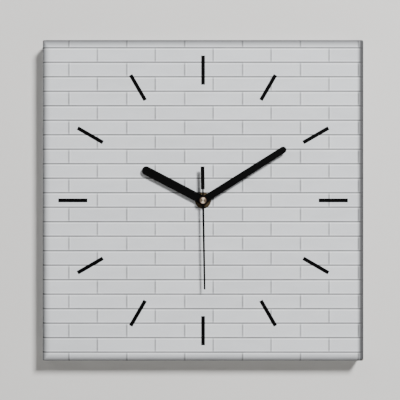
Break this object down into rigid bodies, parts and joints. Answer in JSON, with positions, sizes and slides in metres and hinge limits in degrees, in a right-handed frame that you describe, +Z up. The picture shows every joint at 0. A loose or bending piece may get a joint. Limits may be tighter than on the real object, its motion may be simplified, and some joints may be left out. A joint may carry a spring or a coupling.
{
  "type": "wall clock",
  "caption": "Square wall clock: printed canvas stretched over a wooden frame, printed hour bars, black hour, minute and second hands, and a battery quartz movement behind.",
  "frame": {"origin": "centre of the hanger's hole, halfway through the hanger's thickness", "axes": "+Z up, +X to the right seen from the front, +Y into the wall; the face looks along -Y"},
  "size_m": [0.3, 0.0305, 0.3],
  "materials": {
    "canvas": "matt printed cotton canvas",
    "pine": "planed, unvarnished",
    "hardboard": "smooth, matt",
    "steel": "plain",
    "spring_steel": "nickel plated",
    "black_plastic": "fine moulded texture",
    "nylon": "moulded, satin",
    "brass": "turned, polished",
    "rubber": "matt",
    "battery_sleeve": "gloss sleeve",
    "circuit": "satin solder mask",
    "epoxy": "gloss drop",
    "copper": "enamelled wire",
    "magnet": "ground",
    "hand_paint": "matt black paint on aluminium"
  },
  "bodies": {
    "frame": {"frame_bar_top": "pine", "frame_bar_bottom": "pine", "frame_bar_left": "pine", "frame_bar_right": "pine", "corner_nails": "steel", "staples": "steel", "backing_board": "hardboard", "canvas": "canvas", "front_case": "black_plastic", "rear_cover": "black_plastic", "hanger_loop": "black_plastic", "gear_bridge": "nylon", "threaded_bushing": "brass", "rubber_washer": "rubber", "brass_washer": "brass", "hex_nut": "brass", "contact_positive": "spring_steel", "contact_negative": "spring_steel", "circuit_board": "circuit", "quartz_crystal": "steel", "clock_chip": "epoxy", "coil_bobbin": "nylon", "coil_winding": "copper", "coil_core": "steel", "stator": "steel"},
    "second_hand": {"second_wheel": "nylon", "second_hand": "hand_paint", "second_cap": "brass"},
    "rotor": {"rotor_magnet": "magnet", "rotor_pinion": "nylon"},
    "intermediate": {"intermediate_wheel": "nylon"},
    "third": {"third_wheel": "nylon"},
    "centre": {"centre_wheel": "nylon", "clutch_washer": "spring_steel", "minute_arbor": "brass"},
    "minute_wheel": {"minute_wheel": "nylon"},
    "hour_wheel": {"hour_wheel": "nylon"},
    "setting_pinion": {"setting_pinion": "nylon"},
    "minute_hand": {"minute_hand": "hand_paint", "minute_nut": "brass"},
    "hour_hand": {"hour_hand": "hand_paint"},
    "setting_knob": {"setting_knob": "black_plastic"},
    "battery": {"battery": "battery_sleeve"}
  },
  "joints": [
    {"name": "second_hand_turn", "type": "hinge", "parent": "frame", "child": "second_hand", "pos_m": [0, 0, -0.0345], "axis": [0, 1, 0], "continuous": true},
    {"name": "rotor_turn", "type": "hinge", "parent": "frame", "child": "rotor", "pos_m": [-0.00338, 0, -0.02227], "axis": [0, 1, 0], "continuous": true},
    {"name": "intermediate_turn", "type": "hinge", "parent": "frame", "child": "intermediate", "pos_m": [-0.00284, 0, -0.02841], "axis": [0, 1, 0], "continuous": true},
    {"name": "third_turn", "type": "hinge", "parent": "frame", "child": "third", "pos_m": [0.00799, 0, -0.03159], "axis": [0, 1, 0], "continuous": true},
    {"name": "centre_turn", "type": "hinge", "parent": "frame", "child": "centre", "pos_m": [0, 0, -0.0345], "axis": [0, 1, 0], "continuous": true},
    {"name": "minute_wheel_turn", "type": "hinge", "parent": "frame", "child": "minute_wheel", "pos_m": [-0.00677, 0, -0.03696], "axis": [0, 1, 0], "continuous": true},
    {"name": "hour_wheel_turn", "type": "hinge", "parent": "frame", "child": "hour_wheel", "pos_m": [0, 0, -0.0345], "axis": [0, 1, 0], "continuous": true},
    {"name": "setting_pinion_turn", "type": "hinge", "parent": "frame", "child": "setting_pinion", "pos_m": [-0.01459, 0, -0.03487], "axis": [0, 1, 0], "continuous": true},
    {"name": "minute_hand_set", "type": "hinge", "parent": "centre", "child": "minute_hand", "pos_m": [0, 0, -0.0345], "axis": [0, 1, 0], "continuous": true},
    {"name": "hour_hand_set", "type": "hinge", "parent": "hour_wheel", "child": "hour_hand", "pos_m": [0, 0, -0.0345], "axis": [0, 1, 0], "continuous": true},
    {"name": "setting_knob_set", "type": "hinge", "parent": "setting_pinion", "child": "setting_knob", "pos_m": [-0.01459, 0, -0.03487], "axis": [0, 1, 0], "continuous": true},
    {"name": "battery_out", "type": "slide", "parent": "frame", "child": "battery", "axis": [0, 1, 0], "range_m": [0, 0.02]}
  ],
  "couplings": [
    {"joint": "rotor_turn", "follows": "second_hand_turn", "ratio": 30},
    {"joint": "intermediate_turn", "follows": "second_hand_turn", "ratio": -5},
    {"joint": "third_turn", "follows": "second_hand_turn", "ratio": -0.13333},
    {"joint": "centre_turn", "follows": "second_hand_turn", "ratio": 0.016667},
    {"joint": "minute_wheel_turn", "follows": "second_hand_turn", "ratio": -0.0055556},
    {"joint": "hour_wheel_turn", "follows": "second_hand_turn", "ratio": 0.0013889},
    {"joint": "setting_pinion_turn", "follows": "second_hand_turn", "ratio": 0.011111},
    {"joint": "hour_hand_set", "follows": "minute_hand_set", "ratio": 0.083333},
    {"joint": "setting_knob_set", "follows": "minute_hand_set", "ratio": 0.66667}
  ]
}
